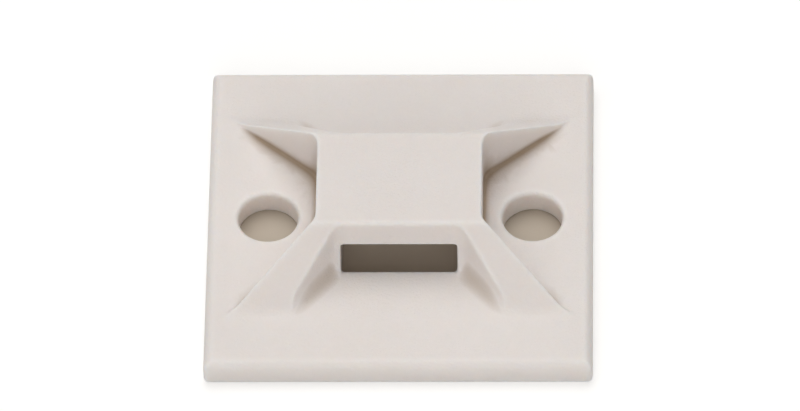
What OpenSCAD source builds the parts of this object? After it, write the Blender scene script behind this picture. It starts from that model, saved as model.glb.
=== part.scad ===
// Screw-down mount for a cable tie, moulded in one piece.
// X runs along the bundle, Y along the tie and Z up. The origin is the middle of the underside.

/* [Base plate] */
// Length of the base plate along the bundle
base_w = 28; // [28:0.5:40]
// Length of the base plate along the tie
base_d = 28; // [24:0.5:40]
// Thickness of the base plate
base_t = 1.9; // [1.6:0.1:3]
// Radius on the upper edges of the base plate
base_edge_r = 0.7; // [0.3:0.1:0.8]
// Radius of the base plate's upright corners
base_corner_r = 0.4; // [0.1:0.1:0.6]

/* [Raised block] */
// Height of the flat top above the underside
block_h = 6.3; // [5.5:0.1:7.5]
// Width of the flat top at its front and back edges
top_w = 13; // [12.2:0.1:15]
// Depth of the flat top along the tie
top_d = 8.6; // [7.6:0.1:9.2]
// Width across the feet of the arms
foot_w = 24.2; // [20:0.1:24.4]
// Depth across the feet of the arms
foot_d = 17.8; // [17.4:0.1:20]
// Radius that blends the sloped faces into the base plate
foot_r = 2; // [0.5:0.1:2.2]
// Radius on the front and back edges of the flat top
crest_r = 0.5; // [0.1:0.05:1]
// Radius of the upright corners in the side pockets
pocket_r = 1.5; // [0.5:0.1:3]

/* [Tie tunnel] */
// Width of the tunnel that the tie passes through
slot_w = 8.4; // [5:0.1:9]
// Height of the tunnel mouth, from its lip to the bridge
slot_h = 2.2; // [1.5:0.1:2.8]
// Rise of the tunnel's lips above the base plate
slot_rise = 0.25; // [0.1:0.05:0.6]
// Wall between the tunnel and each side pocket
side_wall = 1.8; // [1.2:0.1:2.5]

/* [Tie funnels] */
// Distance between the lips of the two tunnel mouths
tunnel_l = 10.6; // [9.6:0.1:11.6]
// Flat shoulder beside the tunnel mouth
funnel_shoulder = 0.55; // [0.2:0.05:1]
// Angle that each side wall opens out from the tie's path, in degrees
funnel_angle = 44; // [30:1:46]
// Draft of the side walls, in degrees
funnel_draft = 9; // [2:0.5:12]
// Backward lean of the wall above the tunnel mouth, in degrees
lintel_lean = 13; // [6:0.5:16]
// Radius between the walls and the floor of a funnel
funnel_r = 1.1; // [0.3:0.1:1.5]

/* [Screw holes] */
// Diameter of the screw holes
screw_d = 4.3; // [3:0.1:5]
// Distance between the two screw holes
screw_pitch = 19.2; // [18.5:0.1:21]
// Width of the broken edge around each screw hole
screw_rim = 0.2; // [0.1:0.05:0.4]

/* [Hidden] */

// Steps in one rounded corner of an outline
arc_steps = 8;
// Facets around a blend sphere and around a screw hole
blend_fn = 32;
hole_fn = 96;
// How far a cutter runs past the face that it opens
over = 1;
// Flat left past the end of the blend at the foot of the block
blend_end = 0.05;
// Colour of natural nylon
nylon = [0.9, 0.88, 0.84];

slot_z = base_t + slot_rise;
// Each funnel floor falls from the lip to the foot of the block.
ramp_slope = slot_rise / (foot_d / 2 - tunnel_l / 2);
waist_x = slot_w / 2 + side_wall;
// The arm's outer wall follows one straight line from the top's corner to its foot.
arm_slope = (foot_w - top_w) / (foot_d - top_d);
foot_slope = (block_h - base_t) / ((foot_d - top_d) / 2);
// The blend at the foot runs out onto the plate, and the arms are drawn to just past its end.
blend_out = foot_r * tan(atan(foot_slope) / 2);
reach_y = foot_d / 2 + blend_out + blend_end;

// Height of the funnel floor at a distance y from the middle
function floor_z(y) = slot_z - (y - tunnel_l / 2) * ramp_slope;

// Where the arm's outer wall lies at a distance y or x from the middle
function arm_x(y) = top_w / 2 + (y - top_d / 2) * arm_slope;
function arm_y(x) = top_d / 2 + (x - top_w / 2) / arm_slope;

// Centre of the funnel's blend: its distance from the middle along the tie at height z, then its
// distance to one side at y and z.
function blend_y(z) = tunnel_l / 2 + funnel_r / cos(lintel_lean) - (z - slot_z) * tan(lintel_lean);
function blend_x(y, z) = slot_w / 2 + funnel_shoulder - funnel_r / cos(funnel_angle)
    + (y - tunnel_l / 2) * tan(funnel_angle) + (z - slot_z) * tan(funnel_draft);

function unit(v) = v / norm(v);

// The points of one corner p, between its neighbours a and b, rounded to radius r.
function rounded_corner(a, p, b, r) =
    let (
        u = unit(a - p),
        v = unit(b - p),
        half = acos(u * v) / 2,
        centre = p + unit(u + v) * r / sin(half),
        start = p + u * r / tan(half) - centre,
        first = atan2(start.y, start.x),
        turn = (180 - 2 * half) * (u.x * v.y - u.y * v.x > 0 ? -1 : 1)
    )
    [for (i = [0:arc_steps])
        let (angle = first + turn * i / arc_steps)
        centre + r * [cos(angle), sin(angle)]];

// An outline from a list of [point, radius], where a radius of 0 leaves the corner sharp.
module rounded_outline(corners) {
    count = len(corners);
    polygon([for (i = [0:count - 1])
        let (
            p = corners[i][0],
            r = corners[i][1],
            a = corners[(i + count - 1) % count][0],
            b = corners[(i + 1) % count][0]
        )
        each (r == 0 ? [p] : rounded_corner(a, p, b, r))]);
}

// Extrudes an outline of (Y, Z) points along X.
module along_x(length) {
    rotate([90, 0, 90]) linear_extrude(height = length, center = true) children();
}

// Extrudes an outline of (X, Z) points along Y.
module along_y(length) {
    rotate([90, 0, 0]) linear_extrude(height = length, center = true) children();
}

// Cross-section of the base plate, with both upper edges rounded.
module plate_outline(width) {
    rounded_outline([
        [[-width / 2, 0], 0],
        [[width / 2, 0], 0],
        [[width / 2, base_t], base_edge_r],
        [[-width / 2, base_t], base_edge_r]
    ]);
}

module plate_plan() {
    rounded_outline([for (corner = [[-1, -1], [1, -1], [1, 1], [-1, 1]])
        [[corner.x * base_w / 2, corner.y * base_d / 2], base_corner_r]]);
}

module plate() {
    intersection() {
        along_y(base_d) plate_outline(base_w);
        along_x(base_w) plate_outline(base_d);
        linear_extrude(height = base_t) plate_plan();
    }
}

// Side view of the block: a slope, a flat top and a slope, blended into the plate.
module block_side() {
    rounded_outline([
        [[-reach_y, base_t / 2], 0],
        [[reach_y, base_t / 2], 0],
        [[reach_y, base_t], 0],
        [[foot_d / 2, base_t], foot_r],
        [[top_d / 2, block_h], crest_r],
        [[-top_d / 2, block_h], crest_r],
        [[-foot_d / 2, base_t], foot_r],
        [[-reach_y, base_t], 0]
    ]);
}

// Plan of the block: two pockets narrow it to a waist, which leaves four arms.
module block_plan() {
    waist_y = arm_y(waist_x);
    rounded_outline([
        [[arm_x(reach_y), -reach_y], 0],
        [[waist_x, -waist_y], pocket_r],
        [[waist_x, waist_y], pocket_r],
        [[arm_x(reach_y), reach_y], 0],
        [[-arm_x(reach_y), reach_y], 0],
        [[-waist_x, waist_y], pocket_r],
        [[-waist_x, -waist_y], pocket_r],
        [[-arm_x(reach_y), -reach_y], 0]
    ]);
}

module block() {
    intersection() {
        along_x(base_w) block_side();
        linear_extrude(height = block_h + over) block_plan();
    }
}

// The space in front of one tunnel mouth: a ramp up to the lip between two flared walls.
module funnel() {
    near = blend_y(slot_z + funnel_r);
    far = reach_y + over;
    high = block_h + over + funnel_r;
    // A sphere rests on the ramp when its centre is this far above it.
    lift = funnel_r / cos(atan(ramp_slope));
    centres = [
        [near, floor_z(near) + lift],
        [blend_y(high), high],
        [far, floor_z(far) + lift],
        [far, high]
    ];
    hull() for (side = [-1, 1], c = centres)
        translate([side * blend_x(c[0], c[1]), -c[0], c[1]]) sphere(r = funnel_r, $fn = blend_fn);
}

// The tunnel under the bridge. It is open below between its lips, and above them it runs on
// through the blend under each lintel, to where the funnels take over.
module tunnel() {
    lip = tunnel_l / 2;
    end = blend_y(slot_z + funnel_r);
    roof = slot_z + slot_h;
    along_x(slot_w) polygon([
        [-lip, -over],
        [lip, -over],
        [lip, slot_z],
        [end, floor_z(end)],
        [end, roof],
        [-end, roof],
        [-end, floor_z(end)],
        [-lip, slot_z]
    ]);
}

// A straight hole with a broken upper edge.
module screw_hole() {
    translate([0, 0, -over]) cylinder(d = screw_d, h = base_t + 2 * over, $fn = hole_fn);
    translate([0, 0, base_t - screw_rim])
        cylinder(d1 = screw_d, d2 = screw_d + 2 * (screw_rim + over), h = screw_rim + over, $fn = hole_fn);
}

module mount_body() {
    color(nylon)
    difference() {
        union() {
            plate();
            difference() {
                block();
                funnel();
                mirror([0, 1, 0]) funnel();
            }
        }
        tunnel();
        for (side = [-1, 1]) translate([side * screw_pitch / 2, 0, 0]) screw_hole();
    }
}

mount_body();
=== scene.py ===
"""Dresses a screw-down cable tie mount, moulded in one piece from natural nylon, and sets its stage."""

import math

import bmesh
import bpy
from bpy.props import FloatProperty, FloatVectorProperty, IntProperty, PointerProperty, StringProperty
from mathutils import Matrix, Quaternion, Vector


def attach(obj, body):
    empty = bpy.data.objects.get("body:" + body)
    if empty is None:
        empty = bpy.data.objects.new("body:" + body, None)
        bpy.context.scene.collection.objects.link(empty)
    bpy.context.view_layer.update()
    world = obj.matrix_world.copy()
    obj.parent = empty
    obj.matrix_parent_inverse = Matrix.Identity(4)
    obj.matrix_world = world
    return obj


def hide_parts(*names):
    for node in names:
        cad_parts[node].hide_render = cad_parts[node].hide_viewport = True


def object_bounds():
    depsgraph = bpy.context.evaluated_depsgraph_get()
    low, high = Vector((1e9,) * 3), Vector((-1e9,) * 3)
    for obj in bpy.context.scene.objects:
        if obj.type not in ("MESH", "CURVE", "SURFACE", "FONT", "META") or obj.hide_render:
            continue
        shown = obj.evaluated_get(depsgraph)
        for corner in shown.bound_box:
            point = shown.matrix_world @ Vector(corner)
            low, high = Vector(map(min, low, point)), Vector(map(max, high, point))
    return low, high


bl_info = {
    "name": "Cable tie mount",
    "version": (1, 0, 0),
    "blender": (4, 5, 0),
    "location": "3D View > Sidebar > Tie mount",
    "description": "Makes the moulded skin of a cable tie mount and its studio stage",
    "category": "Add Mesh",
}

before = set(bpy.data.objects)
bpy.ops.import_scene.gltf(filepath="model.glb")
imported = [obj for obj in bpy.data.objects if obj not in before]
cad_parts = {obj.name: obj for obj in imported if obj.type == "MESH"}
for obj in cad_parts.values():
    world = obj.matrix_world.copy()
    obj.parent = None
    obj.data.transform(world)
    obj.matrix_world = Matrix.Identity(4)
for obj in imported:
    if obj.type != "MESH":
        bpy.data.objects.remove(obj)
CAD_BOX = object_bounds()

NODE = "mount_body"
BODY = "root"
MM = 0.001
# Names of the skin's attributes: up to 1 on its rounded edges, where they set a painted highlight,
# or in its corners, where they set painted shade, and 0 on its faces
HIGHLIGHT_MARK = "edge"
SHADE_MARK = "painted_shade"
# Points of the solid that are nearer than this become one
MERGE = 0.001 * MM
# Refractive index of nylon 66, and the shares of the glow depth that red, green and blue light reach
NYLON_IOR = 1.53
GLOW_REACH = (1.0, 0.82, 0.64)
# The camera's view starts at its distance over this number, and ends at its distance times it
CLIP = 100


# ---------------------------------------------------------------- Settings


class TieMountSkin(bpy.types.PropertyGroup):
    """How the moulded skin is made from the mount's solid."""

    grid: FloatProperty(
        name="Skin grid",
        description="Distance between the points of the skin before its flats are thinned, in millimetres",
        default=0.06,
        min=0.05,
        max=0.4,
    )
    softening: IntProperty(
        name="Edge softening",
        description="Passes that each round the sharp edges a little more",
        default=16,
        min=0,
        max=60,
    )
    # The edge settings place a painted highlight along the rounded edges.
    edge_reach: IntProperty(
        name="Edge reach",
        description="Passes that say how far from an edge its paler colour runs",
        default=18,
        min=1,
        max=60,
    )
    edge_height: FloatProperty(
        name="Edge height",
        description="How far a point stands out where the rim colour is full, in millimetres",
        default=0.07,
        min=0.005,
        max=0.5,
    )
    # The hollow settings place the painted shade in the corners.
    hollow_reach: IntProperty(
        name="Hollow reach",
        description="Passes that say how far from a corner its warmer colour runs",
        default=600,
        min=1,
        max=1000,
    )
    hollow_start: FloatProperty(
        name="Hollow start",
        description="How deep a point lies where the hollow colour begins, in millimetres",
        default=0.1,
        min=0.0,
        max=1.0,
    )
    hollow_depth: FloatProperty(
        name="Hollow depth",
        description="How deep a point lies where the hollow colour is full, in millimetres",
        default=0.34,
        min=0.005,
        max=2.0,
    )
    keep: FloatProperty(
        name="Kept share",
        description="Share of the skin's triangles that is kept; the flats lose theirs first",
        default=0.14,
        min=0.05,
        max=1.0,
        subtype="FACTOR",
    )
    wave: FloatProperty(
        name="Sink",
        description="How far the cooling plastic has drawn its faces in at most, in millimetres",
        default=0.012,
        min=0.0,
        max=0.05,
    )
    wave_size: FloatProperty(
        name="Sink width",
        description="Distance from one shallow hollow to the next, in millimetres",
        default=7.0,
        min=1.0,
        max=30.0,
    )


class TieMountNylon(bpy.types.PropertyGroup):
    """The finish of the natural nylon."""

    pale: StringProperty(
        name="Pale",
        description="Colour of the plastic where it is palest",
        default="#F0E9E5",
    )
    deep: StringProperty(
        name="Deep",
        description="Colour of the plastic where it is warmest",
        default="#EBE3DE",
    )
    # Painted highlight: a paler colour along the rounded edges.
    painted_highlight: StringProperty(
        name="Rim",
        description="Colour along the rounded edges, which are thin",
        default="#FCFAF7",
    )
    # Painted shade: a warm, dark colour in the deepest corners.
    painted_shade: StringProperty(
        name="Hollow",
        description="Colour in the deepest corners, where the plastic is thick and shaded",
        default="#B29C84",
    )
    flow: FloatProperty(
        name="Flow width",
        description="Width of the drifts of colour that the melt leaves, in millimetres",
        default=5.0,
        min=0.5,
        max=30.0,
    )
    glow: FloatProperty(
        name="Glow depth",
        description="How deep light travels in the plastic, in millimetres",
        default=0.9,
        min=0.0,
        max=5.0,
    )
    glow_share: FloatProperty(
        name="Glow share",
        description="Share of the light that travels inside the plastic before it leaves",
        default=0.5,
        min=0.0,
        max=1.0,
        subtype="FACTOR",
    )
    roughness: FloatProperty(
        name="Roughness",
        description="Roughness of the satin skin",
        default=0.44,
        min=0.05,
        max=1.0,
        subtype="FACTOR",
    )
    roughness_spread: FloatProperty(
        name="Roughness spread",
        description="How much smoother or rougher the skin is over the grain",
        default=0.06,
        min=0.0,
        max=0.4,
        subtype="FACTOR",
    )
    grain: FloatProperty(
        name="Grain",
        description="Width of the spark-eroded grain that the tool leaves, in millimetres",
        default=0.19,
        min=0.02,
        max=1.0,
    )
    grain_depth: FloatProperty(
        name="Grain depth",
        description="Depth of the grain, in millimetres",
        default=0.055,
        min=0.0,
        max=0.2,
    )


class TieMountStage(bpy.types.PropertyGroup):
    """The floor, the lamps and the camera."""

    azimuth: FloatProperty(
        name="Azimuth",
        description="Turn of the camera round the mount",
        default=math.radians(2.2),
        subtype="ANGLE",
        unit="ROTATION",
    )
    elevation: FloatProperty(
        name="Elevation",
        description="Height of the camera above the horizon",
        default=math.radians(50),
        subtype="ANGLE",
        unit="ROTATION",
    )
    roll: FloatProperty(
        name="Roll",
        description="Tilt of the camera, which lays the front edge level",
        default=math.radians(1.8),
        subtype="ANGLE",
        unit="ROTATION",
    )
    distance: FloatProperty(
        name="Distance",
        description="From the camera to the mount",
        default=0.737,
        unit="LENGTH",
    )
    field: FloatProperty(
        name="Field",
        description="Width that the camera sees at the mount",
        default=0.058,
        unit="LENGTH",
    )
    floor: StringProperty(name="Floor", description="Colour of the paper", default="#E6E5E3")
    # A darker sheet under the mount: painted shade, seen through the tunnel and the holes.
    shade_board: StringProperty(
        name="Board",
        description="Colour of what the mount is screwed to, seen through its holes and its tunnel",
        default="#CCC1B2",
    )
    board_inset: FloatProperty(
        name="Board inset",
        description="How far inside the mount's outline the board ends",
        default=0.001,
        unit="LENGTH",
    )
    floor_reach: FloatProperty(
        name="Floor reach",
        description="From the middle of the floor to each of its sides",
        default=2.0,
        unit="LENGTH",
    )
    lift: FloatProperty(
        name="Floor lift",
        description="Brightness that only the camera sees on the floor round the mount",
        default=0.42,
        min=0.0,
        max=1.0,
    )
    key: FloatProperty(
        name="Key lamp",
        description="Light of the large lamp above and behind the mount, in watts per square metre",
        default=1.43,
        min=0.0,
    )
    key_rise: FloatProperty(
        name="Key rise",
        description="Height of the key lamp above the horizon",
        default=math.radians(64),
        subtype="ANGLE",
        unit="ROTATION",
    )
    key_width: FloatProperty(
        name="Key width",
        description="Width of the key lamp and of the side lamp, seen from the mount",
        default=math.radians(50),
        subtype="ANGLE",
        unit="ROTATION",
    )
    fill: FloatProperty(
        name="Fill lamp",
        description="Light of the low lamp in front of the mount, in watts per square metre",
        default=1.25,
        min=0.0,
    )
    fill_rise: FloatProperty(
        name="Fill rise",
        description="Height of the fill lamp above the horizon",
        default=math.radians(20),
        subtype="ANGLE",
        unit="ROTATION",
    )
    fill_width: FloatProperty(
        name="Fill width",
        description="Width of the fill lamp, seen from the mount",
        default=math.radians(60),
        subtype="ANGLE",
        unit="ROTATION",
    )
    side: FloatProperty(
        name="Side lamp",
        description="Light of the lamp on the left, in watts per square metre",
        default=0.35,
        min=0.0,
    )
    side_rise: FloatProperty(
        name="Side rise",
        description="Height of the side lamp above the horizon",
        default=math.radians(45),
        subtype="ANGLE",
        unit="ROTATION",
    )
    room: FloatProperty(
        name="Room light",
        description="Strength of the even light from all round",
        default=0.15,
        min=0.0,
    )
    lamp_tint: FloatVectorProperty(
        name="Lamp colour",
        description="Colour of the lamps",
        default=(1.0, 0.995, 0.985),
        size=3,
        subtype="COLOR",
    )


# ---------------------------------------------------------------- Helpers


def linear(hex_colour):
    """An sRGB hex colour as linear red, green, blue and alpha."""
    channels = [int(hex_colour[i : i + 2], 16) / 255 for i in (1, 3, 5)]
    return [c / 12.92 if c <= 0.04045 else ((c + 0.055) / 1.055) ** 2.4 for c in channels] + [1.0]


def add_node(tree, kind, inputs=None, **settings):
    """Adds a node, sets its properties, and sets or links its inputs."""
    node = tree.nodes.new(kind)
    for name, value in settings.items():
        setattr(node, name, value)
    for key, value in (inputs or {}).items():
        if isinstance(value, bpy.types.NodeSocket):
            tree.links.new(value, node.inputs[key])
        else:
            node.inputs[key].default_value = value
    return node


def new_material(name):
    """An empty node material, with its tree."""
    material = bpy.data.materials.new(name)
    material.use_nodes = True
    material.node_tree.nodes.clear()
    return material, material.node_tree


def new_object(name, data):
    """Links an object for a mesh, a lamp or a camera to the scene."""
    thing = bpy.data.objects.new(name, data)
    bpy.context.scene.collection.objects.link(thing)
    return thing


def baked(piece):
    """The piece's mesh with its modifiers worked in, and the modifiers gone."""
    evaluated = piece.evaluated_get(bpy.context.evaluated_depsgraph_get())
    mesh = bpy.data.meshes.new_from_object(evaluated)
    piece.modifiers.clear()
    old = piece.data
    piece.data = mesh
    bpy.data.meshes.remove(old)
    mesh.name = piece.name
    return mesh


def facing(turn, rise):
    """The way from the mount to something that far round it, from its front, and that far above it."""
    return Vector((math.sin(turn) * math.cos(rise), -math.cos(turn) * math.cos(rise), math.sin(rise)))


def lamp(name, light, tint, width, turn, rise):
    """A round soft lamp, so far away that it lights the whole floor evenly. Its width is an angle."""
    glow = bpy.data.lights.new(name, "SUN")
    glow.energy = light
    glow.color = tint
    glow.angle = width
    holder = new_object(name, glow)
    holder.rotation_euler = (-facing(turn, rise)).to_track_quat("-Z", "Y").to_euler()


# ---------------------------------------------------------------- Finishes


def nylon_material(nylon):
    """Natural nylon 66, injection moulded: off-white, satin and slightly translucent.

    Light travels about a millimetre inside it, which softens the shade in its corners. The colour
    carries painted shade, warmer and darker, in the corners, and a painted highlight, a little paler,
    along the rounded edges.
    """
    material, tree = new_material("natural_nylon_66_moulded")
    place = add_node(tree, "ShaderNodeTexCoord").outputs["Object"]
    # Slow drift of colour, as wide as the flow of the melt
    flow = add_node(
        tree, "ShaderNodeTexNoise", {"Vector": place, "Scale": 1 / (nylon.flow * MM), "Detail": 3.0}
    )
    body = add_node(
        tree,
        "ShaderNodeMix",
        {0: flow.outputs["Fac"], 6: linear(nylon.deep), 7: linear(nylon.pale)},
        data_type="RGBA",
    )
    # Painted highlight: a paler colour mixed in along the rounded edges.
    edge = add_node(tree, "ShaderNodeAttribute", attribute_name=HIGHLIGHT_MARK)
    thin = add_node(
        tree,
        "ShaderNodeMix",
        {0: edge.outputs["Fac"], 6: body.outputs[2], 7: linear(nylon.painted_highlight)},
        data_type="RGBA",
    )
    # The corner colour is painted shade, partly the warmth of thicker plastic, and stronger than thickness
    # alone would make it.
    painted_shade = add_node(tree, "ShaderNodeAttribute", attribute_name=SHADE_MARK)
    colour = add_node(
        tree,
        "ShaderNodeMix",
        {0: painted_shade.outputs["Fac"], 6: thin.outputs[2], 7: linear(nylon.painted_shade)},
        data_type="RGBA",
    )
    # Spark-eroded grain of the tool. It is drawn coarser and deeper than the real one, so that it shows.
    grain = add_node(
        tree,
        "ShaderNodeTexNoise",
        {"Vector": place, "Scale": 1 / (nylon.grain * MM), "Detail": 2.0, "Roughness": 0.6},
    )
    bump = add_node(
        tree,
        "ShaderNodeBump",
        {"Height": grain.outputs["Fac"], "Strength": 1.0, "Distance": nylon.grain_depth * MM},
    )
    shine = add_node(
        tree,
        "ShaderNodeMapRange",
        {
            "Value": grain.outputs["Fac"],
            "To Min": nylon.roughness - nylon.roughness_spread,
            "To Max": nylon.roughness + nylon.roughness_spread,
        },
    )
    shader = add_node(
        tree,
        "ShaderNodeBsdfPrincipled",
        {
            "Base Color": colour.outputs[2],
            "Roughness": shine.outputs["Result"],
            "Normal": bump.outputs["Normal"],
            "IOR": NYLON_IOR,
            "Subsurface Weight": nylon.glow_share,
            "Subsurface Radius": GLOW_REACH,
            "Subsurface Scale": nylon.glow * MM,
        },
    )
    add_node(tree, "ShaderNodeOutputMaterial", {"Surface": shader.outputs["BSDF"]})
    return material


def seen_directly(tree):
    """1 for rays that come straight from the camera, off a gloss or through glass, and 0 for others."""
    path = add_node(tree, "ShaderNodeLightPath").outputs
    glossy = add_node(
        tree, "ShaderNodeMath", {0: path["Is Camera Ray"], 1: path["Is Glossy Ray"]}, operation="MAXIMUM"
    )
    clear = add_node(
        tree, "ShaderNodeMath", {0: glossy.outputs[0], 1: path["Is Transmission Ray"]}, operation="MAXIMUM"
    )
    return clear.outputs[0]


def floor_material(stage, half):
    """Pale matt paper, which keeps the mount's shadow, with a warmer board under the mount.

    The camera sees the paper a little brighter than it is, so that it turns white round the mount. The
    darker board reaches that half width to each side and isn't brightened: it is painted shade, which
    makes the tunnel and holes look deep.
    """
    material, tree = new_material("pale_matt_paper")
    place = add_node(tree, "ShaderNodeTexCoord").outputs["Object"]
    away = add_node(tree, "ShaderNodeVectorMath", {0: place}, operation="ABSOLUTE")
    split = add_node(tree, "ShaderNodeSeparateXYZ", {0: away.outputs[0]}).outputs
    reach = add_node(tree, "ShaderNodeMath", {0: split["X"], 1: split["Y"]}, operation="MAXIMUM")
    outside = add_node(tree, "ShaderNodeMath", {0: reach.outputs[0], 1: half}, operation="GREATER_THAN")
    colour = add_node(
        tree,
        "ShaderNodeMix",
        {0: outside.outputs[0], 6: linear(stage.shade_board), 7: linear(stage.floor)},
        data_type="RGBA",
    )
    matt = add_node(tree, "ShaderNodeBsdfDiffuse", {"Color": colour.outputs[2]})
    seen = add_node(
        tree, "ShaderNodeMath", {0: seen_directly(tree), 1: outside.outputs[0]}, operation="MULTIPLY"
    )
    strength = add_node(tree, "ShaderNodeMath", {0: seen.outputs[0], 1: stage.lift}, operation="MULTIPLY")
    lift = add_node(tree, "ShaderNodeEmission", {"Color": (1, 1, 1, 1), "Strength": strength.outputs[0]})
    both = add_node(tree, "ShaderNodeAddShader", {0: matt.outputs[0], 1: lift.outputs[0]})
    add_node(tree, "ShaderNodeOutputMaterial", {"Surface": both.outputs[0]})
    return material


# ---------------------------------------------------------------- The moulded skin


def blurred_position(tree, passes):
    """The place of each point, evened out with its neighbours that many times."""
    place = add_node(tree, "GeometryNodeInputPosition").outputs[0]
    blur = add_node(
        tree, "GeometryNodeBlurAttribute", {"Value": place, "Iterations": passes}, data_type="FLOAT_VECTOR"
    )
    return blur.outputs[0]


def relief_mark(tree, geometry, name, passes, start, height):
    """Stores how far each point stands out of its neighbourhood, from 0 at the start to 1 at the height.

    Negative heights mark the points that lie below their neighbourhood.
    """
    place = add_node(tree, "GeometryNodeInputPosition").outputs[0]
    normal = add_node(tree, "GeometryNodeInputNormal").outputs[0]
    step = add_node(
        tree, "ShaderNodeVectorMath", {0: place, 1: blurred_position(tree, passes)}, operation="SUBTRACT"
    )
    out = add_node(tree, "ShaderNodeVectorMath", {0: step.outputs[0], 1: normal}, operation="DOT_PRODUCT")
    share = add_node(
        tree, "ShaderNodeMapRange", {"Value": out.outputs["Value"], "From Min": start, "From Max": height}
    )
    store = add_node(
        tree,
        "GeometryNodeStoreNamedAttribute",
        {"Geometry": geometry, "Name": name, "Value": share.outputs["Result"]},
        data_type="FLOAT",
        domain="POINT",
    )
    return store.outputs[0]


def soft_edges_tree(skin, material):
    """Rounds the edges as a moulding's are, and gives the faces a trace of sink."""
    tree = bpy.data.node_groups.new("soft moulded edges", "GeometryNodeTree")
    face = tree.interface
    face.new_socket("Geometry", in_out="INPUT", socket_type="NodeSocketGeometry")
    sockets = {
        "Passes": ("NodeSocketInt", skin.softening),
        "Sink": ("NodeSocketFloat", skin.wave),
        "Sink width": ("NodeSocketFloat", skin.wave_size),
        "Edge reach": ("NodeSocketInt", skin.edge_reach),
        "Edge height": ("NodeSocketFloat", skin.edge_height),
        "Hollow reach": ("NodeSocketInt", skin.hollow_reach),
        "Hollow start": ("NodeSocketFloat", -skin.hollow_start),
        "Hollow depth": ("NodeSocketFloat", -skin.hollow_depth),
        "Material": ("NodeSocketMaterial", material),
    }
    values = {}
    for name, (kind, value) in sockets.items():
        socket = face.new_socket(name, in_out="INPUT", socket_type=kind)
        values[socket.identifier] = value
    face.new_socket("Geometry", in_out="OUTPUT", socket_type="NodeSocketGeometry")

    source = add_node(tree, "NodeGroupInput").outputs
    softened = blurred_position(tree, source["Passes"])
    rounded = add_node(
        tree, "GeometryNodeSetPosition", {"Geometry": source["Geometry"], "Position": softened}
    )
    frequency = add_node(tree, "ShaderNodeMath", {0: 1.0, 1: source["Sink width"]}, operation="DIVIDE")
    noise = add_node(tree, "ShaderNodeTexNoise", {"Scale": frequency.outputs[0], "Detail": 1.0})
    # The sink only draws the faces in, so that the skin stays within the solid's size.
    height = add_node(
        tree, "ShaderNodeMapRange", {"Value": noise.outputs["Fac"], "To Min": -1.0, "To Max": 0.0}
    )
    depth = add_node(
        tree, "ShaderNodeMath", {0: height.outputs["Result"], 1: source["Sink"]}, operation="MULTIPLY"
    )
    normal = add_node(tree, "GeometryNodeInputNormal")
    offset = add_node(
        tree, "ShaderNodeVectorMath", {0: normal.outputs[0], "Scale": depth.outputs[0]}, operation="SCALE"
    )
    sunk = add_node(
        tree, "GeometryNodeSetPosition", {"Geometry": rounded.outputs[0], "Offset": offset.outputs[0]}
    )
    # Marks where the painted highlight along the edges and the painted shade in the corners go.
    edged = relief_mark(tree, sunk.outputs[0], HIGHLIGHT_MARK, source["Edge reach"], 0.0, source["Edge height"])
    marked = relief_mark(
        tree, edged, SHADE_MARK, source["Hollow reach"], source["Hollow start"], source["Hollow depth"]
    )
    joined = add_node(tree, "GeometryNodeRealizeInstances", {"Geometry": marked})
    coated = add_node(
        tree, "GeometryNodeSetMaterial", {"Geometry": joined.outputs[0], "Material": source["Material"]}
    )
    add_node(tree, "NodeGroupOutput", {"Geometry": coated.outputs[0]})
    return tree, values


def merged_copy(node, name):
    """A merged copy of a node's mesh, in millimetres."""
    form = bmesh.new()
    form.from_mesh(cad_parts[node].data)
    bmesh.ops.remove_doubles(form, verts=form.verts, dist=MERGE)
    bmesh.ops.scale(form, vec=(1 / MM,) * 3, verts=form.verts)
    mesh = bpy.data.meshes.new(name)
    form.to_mesh(mesh)
    form.free()
    return mesh


def moulded_skin(skin, material):
    """The mount's solid with softly rounded edges, as one smooth closed skin."""
    piece = new_object("moulded_body", merged_copy(NODE, "moulded_body"))
    remesh = piece.modifiers.new("grid", "REMESH")
    remesh.mode = "VOXEL"
    remesh.voxel_size = skin.grid
    tree, values = soft_edges_tree(skin, material)
    soften = piece.modifiers.new("soft edges", "NODES")
    soften.node_group = tree
    for identifier, value in values.items():
        soften[identifier] = value
    thin = piece.modifiers.new("thin flats", "DECIMATE")
    thin.ratio = skin.keep
    mesh = baked(piece)
    mesh.transform(Matrix.Scale(MM, 4))
    mesh.shade_smooth()
    return piece


# ---------------------------------------------------------------- Operators


class TIEMOUNT_OT_body(bpy.types.Operator):
    """Make the moulded nylon body of the mount"""

    bl_idname = "tie_mount.body"
    bl_label = "Moulded body"

    def execute(self, context):
        material = nylon_material(context.scene.tie_mount_nylon)
        piece = moulded_skin(context.scene.tie_mount_skin, material)
        if not piece.data.polygons:
            raise RuntimeError("the moulded skin came out empty")
        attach(piece, BODY)
        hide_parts(NODE)
        return {"FINISHED"}


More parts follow.
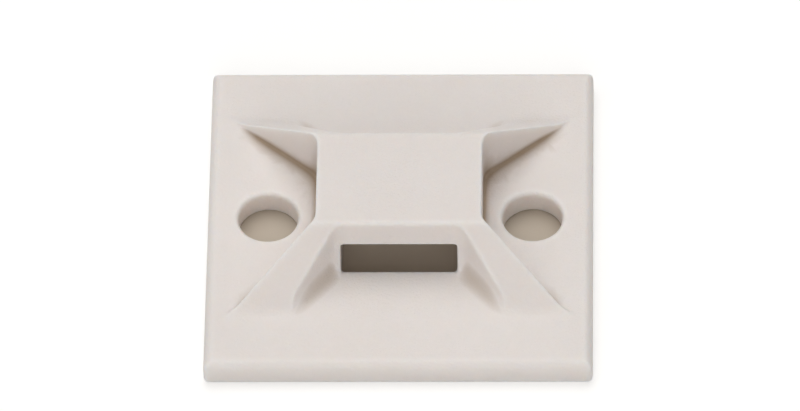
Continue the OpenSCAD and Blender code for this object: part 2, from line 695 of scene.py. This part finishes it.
class TIEMOUNT_OT_stage(bpy.types.Operator):
    """Make the floor, the lamps and the camera"""

    bl_idname = "tie_mount.stage"
    bl_label = "Stage"

    def execute(self, context):
        stage = context.scene.tie_mount_stage
        low, high = CAD_BOX
        middle = (low + high) / 2
        self.floor(stage, low.z)
        self.lamps(stage)
        self.camera(context.scene, stage, middle)
        self.room(context.scene, stage)
        context.scene.view_settings.view_transform = "Standard"
        return {"FINISHED"}

    def floor(self, stage, height):
        reach = stage.floor_reach
        mesh = bpy.data.meshes.new("floor")
        corners = [(x * reach, y * reach, height) for x, y in ((-1, -1), (1, -1), (1, 1), (-1, 1))]
        mesh.from_pydata(corners, [], [(0, 1, 2, 3)])
        mesh.materials.append(floor_material(stage, CAD_BOX[1].x - stage.board_inset))
        new_object("floor", mesh)

    def lamps(self, stage):
        tint = stage.lamp_tint
        lamp("key_lamp", stage.key, tint, stage.key_width, math.pi, stage.key_rise)
        lamp("fill_lamp", stage.fill, tint, stage.fill_width, 0.0, stage.fill_rise)
        lamp("side_lamp", stage.side, tint, stage.key_width, -math.pi / 2, stage.side_rise)

    def camera(self, scene, stage, middle):
        camera = bpy.data.cameras.new("camera")
        camera.lens = camera.sensor_width * stage.distance / stage.field
        camera.clip_start = stage.distance / CLIP
        camera.clip_end = stage.distance * CLIP
        holder = new_object("camera", camera)
        back = facing(stage.azimuth, stage.elevation)
        holder.location = middle + back * stage.distance
        level = (-back).to_track_quat("-Z", "Y")
        holder.rotation_euler = (level @ Quaternion((0, 0, 1), -stage.roll)).to_euler()
        scene.camera = holder

    def room(self, scene, stage):
        world = bpy.data.worlds.new("white_room")
        world.use_nodes = True
        tree = world.node_tree
        tree.nodes.clear()
        even = add_node(tree, "ShaderNodeBackground", {"Color": (1, 1, 1, 1), "Strength": stage.room})
        white = add_node(tree, "ShaderNodeBackground", {"Color": (1, 1, 1, 1), "Strength": 1.0})
        mix = add_node(
            tree, "ShaderNodeMixShader", {0: seen_directly(tree), 1: even.outputs[0], 2: white.outputs[0]}
        )
        add_node(tree, "ShaderNodeOutputWorld", {"Surface": mix.outputs[0]})
        scene.world = world


class TIEMOUNT_PT_panel(bpy.types.Panel):
    """Lists the mount's pieces and their settings"""

    bl_label = "Cable tie mount"
    bl_idname = "TIEMOUNT_PT_panel"
    bl_space_type = "VIEW_3D"
    bl_region_type = "UI"
    bl_category = "Tie mount"

    def draw(self, context):
        for group, operator in (
            ("tie_mount_skin", None),
            ("tie_mount_nylon", TIEMOUNT_OT_body),
            ("tie_mount_stage", TIEMOUNT_OT_stage),
        ):
            settings = getattr(context.scene, group)
            box = self.layout.box()
            for name in settings.bl_rna.properties.keys():
                if name not in ("rna_type", "name"):
                    box.prop(settings, name)
            if operator:
                box.operator(operator.bl_idname)


SETTINGS = {
    "tie_mount_skin": TieMountSkin,
    "tie_mount_nylon": TieMountNylon,
    "tie_mount_stage": TieMountStage,
}
CLASSES = (*SETTINGS.values(), TIEMOUNT_OT_body, TIEMOUNT_OT_stage, TIEMOUNT_PT_panel)


def register():
    for cls in CLASSES:
        bpy.utils.register_class(cls)
    for name, cls in SETTINGS.items():
        setattr(bpy.types.Scene, name, PointerProperty(type=cls))


def unregister():
    for name in SETTINGS:
        delattr(bpy.types.Scene, name)
    for cls in reversed(CLASSES):
        bpy.utils.unregister_class(cls)


def main():
    register()
    bpy.ops.tie_mount.body()
    bpy.ops.tie_mount.stage()


if __name__ == "__main__":
    main()
